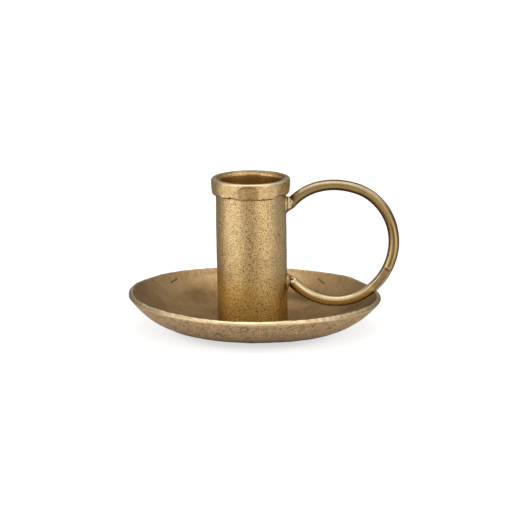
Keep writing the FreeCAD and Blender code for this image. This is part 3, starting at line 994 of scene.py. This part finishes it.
def bar_wear_and_shading(points, bearing, off_middle, flat, burr):
    """Painted shade underneath, overhead, near the braze and in a crease above the flat, a painted highlight
    along the top.
    """
    degrees = np.degrees(bearing)
    overhead = rising((LOOP_RADIUS + off_middle) * np.sin(bearing), 0, 12)
    faces_up = off_middle / BAR_RADIUS * np.sin(bearing)
    faces_aside = np.abs(off_middle / BAR_RADIUS * np.cos(bearing))
    crease = bell(off_middle, CREASE_REACH, 0.36) * rising(degrees, FORGED_START, FORGED_START + 3)
    crease *= rising(degrees, 28, 4)
    notch = bell(degrees, FORGED_START - 1.0, 1.0) * bell(off_middle, 0.2, 1.1)
    near_end = fading(points[:, 0] - LOOP_LOW[0] - 1.0, 1.6)
    # Painted shade in the crease, on the flat, at the notch and near the braze
    patina_and_shade = (1.2 * crease + 0.46 * flat + 0.6 * notch) * (points[:, 1] < 0) + 0.6 * near_end
    # Some of the metal's own dark tone all over; painted shade overhead, on the outer side, underneath, along
    # the sides and as a dark line along the top
    patina_and_shade += 0.16 + 0.50 * overhead + 0.16 * rising(np.cos(bearing), 0.3, 0.8)
    patina_and_shade += (0.72 + 0.15 * overhead) * smooth((-faces_up - 0.12 - 0.14 * overhead) / 0.50)
    patina_and_shade += 0.75 * rising(faces_aside, 0.50, 0.80) + 0.9 * rising(faces_up, 0.76, 0.90)
    # Painted highlights along the top, along the flat's outer edge and on the burr
    wear_and_sheen = bell(faces_up, 0.60, 0.26 - 0.11 * overhead)
    outer_line = bell(off_middle, 1.45, 0.22) * flat
    # The painted shade underneath is tinted warmer and olive
    underneath = rising(faces_up, 0.1, -0.5)
    return {
        "patina_and_shade": np.clip(patina_and_shade, 0, 1.2),
        "polish_and_highlight": np.clip(0.25 * burr + 0.55 * wear_and_sheen + 0.6 * outer_line, 0, 1),
        "warmth": 0.20 * underneath,
        "olive": 0.25 + 0.40 * underneath,
        "speckle": np.full(len(points), 0.2),
    }


def lump_rows(side, rise, drop, slender):
    """Rows of a bead that flares from the bar's lap to a foot in the tube's wall, and that foot."""
    end_point = bar_point(BAR_END, side)
    lap = BAR_END - LAP / LOOP_RADIUS
    tip = bar_point(lap, side)
    tip_way = np.array([-math.sin(lap) * side, 0, math.cos(lap)]) * side
    foot_x = TUBE_X + TUBE_RADIUS - LUMP_DEPTH + LEAN * (MOUTH_Z - end_point[2])
    foot = np.array([foot_x, 0, end_point[2] + (rise - drop) / 2])
    foot_way = np.array([-1.0, 0, 0])
    bow = (end_point - (foot + tip) / 2) * 0.35
    turn = -around(LUMP_POINTS)
    rows = []
    for share in np.linspace(0, 1, LUMP_ROWS):
        centre = foot + (tip - foot) * share + bow * (1 - (2 * share - 1) ** 2)
        upright = np.cross(foot_way + (tip_way - foot_way) * smooth(share), [0, 1.0, 0])
        upright /= np.linalg.norm(upright)
        flare = (1 - share) ** slender
        radius = BAR_RADIUS + LUMP_SKIN * rising(share, 1.0, 0.82)
        wide = radius + (LUMP_HALF_WIDTH - BAR_RADIUS) * flare
        tall = radius + ((rise + drop) / 2 - BAR_RADIUS) * flare
        across = np.outer(wide * np.cos(turn), [0, 1, 0])
        rows.append(centre + across + np.outer(tall * np.sin(turn), upright))
    return np.stack(rows), foot


def handle_lump(name, material, lump):
    """Braze metal between the tube's wall and one end of the bar."""
    points, foot = lump_rows(lump["side"], lump["rise"], lump["drop"], lump["slender"])
    outward = points - points.mean(1)[:, None]
    outward /= np.linalg.norm(outward, axis=-1)[..., None]
    share = np.linspace(0, 1, LUMP_ROWS)[:, None]
    lumpy = ripple(points, 4.2, lump["seed"]) * 0.16 + ripple(points, 1.7, lump["seed"] + 1) * 0.07
    pit = np.zeros_like(lumpy)
    for x, z in lump["pits"]:
        off_pit = np.hypot(points[..., 0] - x, points[..., 2] - z)
        pit = np.maximum(pit, bell(off_pit, 0, PIT_RADIUS) * (points[..., 1] < 0))
    off_wall = points[..., 0] - foot[0] - LUMP_DEPTH + 0.12 * ripple(points, 1.6, lump["seed"] + 2)
    crease = bell(off_wall, lump["crease"], 0.28)
    root = rising(off_wall, lump["crease"] + 0.3, lump["crease"])
    relief = (lumpy - 0.7 * pit - 0.16 * crease) * rising(share, 0, 0.1) * rising(share, 1.0, 0.85)
    points += outward * relief[..., None]

    # Painted shade below the joint, on the root, in the crease and beyond the bead on the bar; painted
    # highlights on the bead's bumps; the pits dark
    below = rising(points[..., 2], foot[2] - 1.0, foot[2] - 3.0) * root
    beyond = rising(off_wall, lump["bead"], lump["bead"] + 0.5)
    patina_and_shade = np.clip(lump["root_shade"] * root + 0.9 * crease + 1.4 * pit + 0.5 * below - 0.3 * lumpy, 0, 1.3)
    polish_and_highlight = np.clip(0.50 + 1.5 * lumpy - pit - crease, 0, 0.8) * (1 - lump["dullness"] * root) * (1 - beyond)
    return mesh_piece(name, points, material, {
        "patina_and_shade": np.clip(patina_and_shade + 0.45 * beyond, 0, 1.3), "polish_and_highlight": polish_and_highlight,
        "olive": 0.3 * root + 0.3 * beyond, "speckle": 0.8,
    })


# The studio

def towards(bearing, elevation=0.0):
    """Direction from the object. Bearing 0 is the camera's side, and 90 is +X."""
    bearing, elevation = math.radians(bearing), math.radians(elevation)
    level = math.cos(elevation)
    return Vector((math.sin(bearing) * level, -math.cos(bearing) * level, math.sin(elevation)))


def room_light(graph, way):
    """How bright the room is at its sides: plain in front, dim behind the object."""
    return graph.ramp(graph.vector("DOT_PRODUCT", way, towards(0)), -0.80, 0.20, 0.24, 0.54)


def lamp_pools(graph, way):
    """The light that the softboxes throw on the table."""
    pools = 0.0
    for bearing, outer, inner, strength in LAMP_POOLS:
        edges = math.cos(math.radians(outer)), math.cos(math.radians(inner))
        pools = graph.ramp(graph.vector("DOT_PRODUCT", way, towards(bearing)), *edges, 0.0, strength) + pools
    return pools


def studio_floor():
    """A pale floor. The camera sees it white, with the object's shadow on it, deepened close round the dish
    by painted shadow. Metal sees mostly a painted glow, with painted shade under the dish and pools of lamp
    light.
    """
    material = bpy.data.materials.new("studio_floor")
    graph = cleared(material)
    plain = graph.add("ShaderNodeBsdfDiffuse", None, {"Color": FLOOR_COLOUR})["BSDF"]
    flat = graph.vector("MULTIPLY", graph.add("ShaderNodeTexCoord")["Object"], (1.0, 1.0, 0.0))
    way = graph.vector("NORMALIZE", flat)
    distance = graph.vector("LENGTH", flat)
    oval = graph.vector("LENGTH", graph.vector("MULTIPLY", flat, (1.3, 1.0, 0.0)))
    seen = graph.add("ShaderNodeLightPath")
    mirrored = (seen["Is Glossy Ray"] + seen["Is Transmission Ray"]).clamped()
    # Painted for reflections: shade close under the dish, brighter further out, dimmer far off, and pools of
    # the softboxes' light
    under = graph.ramp(distance, 0.023, 0.051, 0.10, 1.66) - graph.ramp(distance, 0.060, 0.110, 0.0, 0.55)
    shown = room_light(graph, way) * under + lamp_pools(graph, way) * graph.ramp(distance, 0.07, 0.15)
    white = graph.add("ShaderNodeEmission", None, {
        "Color": WHITE, "Strength": mirrored * (shown - FLOOR_GLOW) + FLOOR_GLOW,
    })["Emission"]
    # Less white close round the dish, in an oval wider than deep, which paints the camera's view of the
    # shadow darker there
    share = seen["Is Camera Ray"] * graph.ramp(oval, 0.033, 0.047, 0.41, 0.50) + mirrored * 0.80
    finished(graph, graph.add("ShaderNodeMixShader", None, {0: share, 1: plain, 2: white})["Shader"])
    mesh = bpy.data.meshes.new("studio_floor")
    corners = [(x * FLOOR_REACH, y * FLOOR_REACH, 0) for x, y in ((-1, -1), (1, -1), (1, 1), (-1, 1))]
    mesh.from_pydata(corners, [], [(0, 1, 2, 3)])
    mesh.materials.append(material)
    floor = placed("studio_floor", mesh)


def studio_world():
    """White to the camera. Metal sees a dim room, a bright scrim above and a white backdrop."""
    world = bpy.data.worlds.new("studio")
    bpy.context.scene.world = world
    graph = cleared(world)
    way = graph.add("ShaderNodeTexCoord")["Generated"]
    parts = graph.add("ShaderNodeSeparateXYZ", None, {"Vector": way})
    scrim = graph.ramp(parts["Z"], 0.20, 0.95, 0.0, 0.55) + room_light(graph, way)
    backdrop = graph.ramp(parts["Y"], 0.985, 0.998)
    seen = graph.add("ShaderNodeLightPath")
    sees_behind = (seen["Is Glossy Ray"] + seen["Is Transmission Ray"]) * backdrop
    white = (seen["Is Camera Ray"] + sees_behind).clamped()
    room = graph.add("ShaderNodeBackground", None, {"Color": ROOM_COLOUR, "Strength": scrim})["Background"]
    blank = graph.add("ShaderNodeBackground", None, {"Color": WHITE, "Strength": 1.0})["Background"]
    finished(graph, graph.add("ShaderNodeMixShader", None, {0: white, 1: room, 2: blank})["Shader"])


def softbox(name, bearing, elevation, distance, width, height, radiance):
    """A rectangular lamp that faces the object."""
    lamp = bpy.data.lights.new(name, "AREA")
    lamp.shape = "RECTANGLE"
    lamp.size = width
    lamp.size_y = height
    lamp.energy = radiance * math.pi * width * height
    box = placed(name, lamp)
    way = towards(bearing, elevation)
    box.location = Vector((0, 0, AIM_HEIGHT * MM)) + way * distance
    box.rotation_euler = (-way).to_track_quat("-Z", "Y").to_euler()


def photo_camera():
    data = bpy.data.cameras.new("photo_camera")
    data.sensor_width = SENSOR
    data.lens = SENSOR * FOCAL_PIXELS / PHOTO_PIXELS
    camera = placed("photo_camera", data)
    tilt = math.pi / 2 - CAMERA_PITCH
    scale = CAMERA_DISTANCE / FOCAL_PIXELS
    aside, below = ((PHOTO_PIXELS / 2 - pixel) * scale for pixel in AIM_PIXEL)
    back = Matrix.Rotation(tilt, 3, "X") @ Vector((aside, -below, CAMERA_DISTANCE))
    camera.location = (Vector((0, 0, AIM_HEIGHT)) + back) * MM
    camera.rotation_euler = (tilt, 0, 0)
    bpy.context.scene.camera = camera


# The object

dish_brass = brass("dish_brass", 0.6, 0.5, 0.33, brushed_outwards, marked=True, warm=ROSY_BRASS)
tube_brass = brass("tube_brass", 1.0, 0.25, 0.30)
collar_brass = brass("collar_brass", 0.8, 0.3, 0.28)
loop_brass = brass("loop_brass", 0.2, 0.3, 0.22, brushed_along)
braze_metal = brass("braze_metal", 0.8, 0.5, 0.28)

built = (
    (drip_dish(dish_brass), "drip_dish", "dish_brass"),
    (candle_tube(tube_brass), "candle_tube", "tube_brass"),
    (rim_collar(collar_brass), "rim_collar", "collar_brass"),
    (ring_handle(loop_brass), "ring_handle", "loop_brass"),
    (handle_lump("upper_handle_braze_lump", braze_metal, UPPER_LUMP), "upper_handle_braze", "braze_metal"),
    (handle_lump("lower_handle_braze_lump", braze_metal, LOWER_LUMP), "lower_handle_braze", "braze_metal"),
    (tube_foot_braze(braze_metal), "tube_foot_braze", "braze_metal"),
    (collar_braze(braze_metal), "collar_braze", "braze_metal"),
)
for piece, node, slot in built:
    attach(piece, "root")
    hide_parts(node)

studio_floor()
studio_world()
softbox("left_softbox", LEFT_BEARING, 16, 1.2, 1.0, 0.9, 1.15)
softbox("right_softbox", RIGHT_BEARING, 16, 1.2, 0.85, 0.9, 1.05)
softbox("top_softbox", 180, 84, 1.3, 1.0, 0.9, 1.0)
photo_camera()
bpy.context.scene.view_settings.view_transform = "Standard"
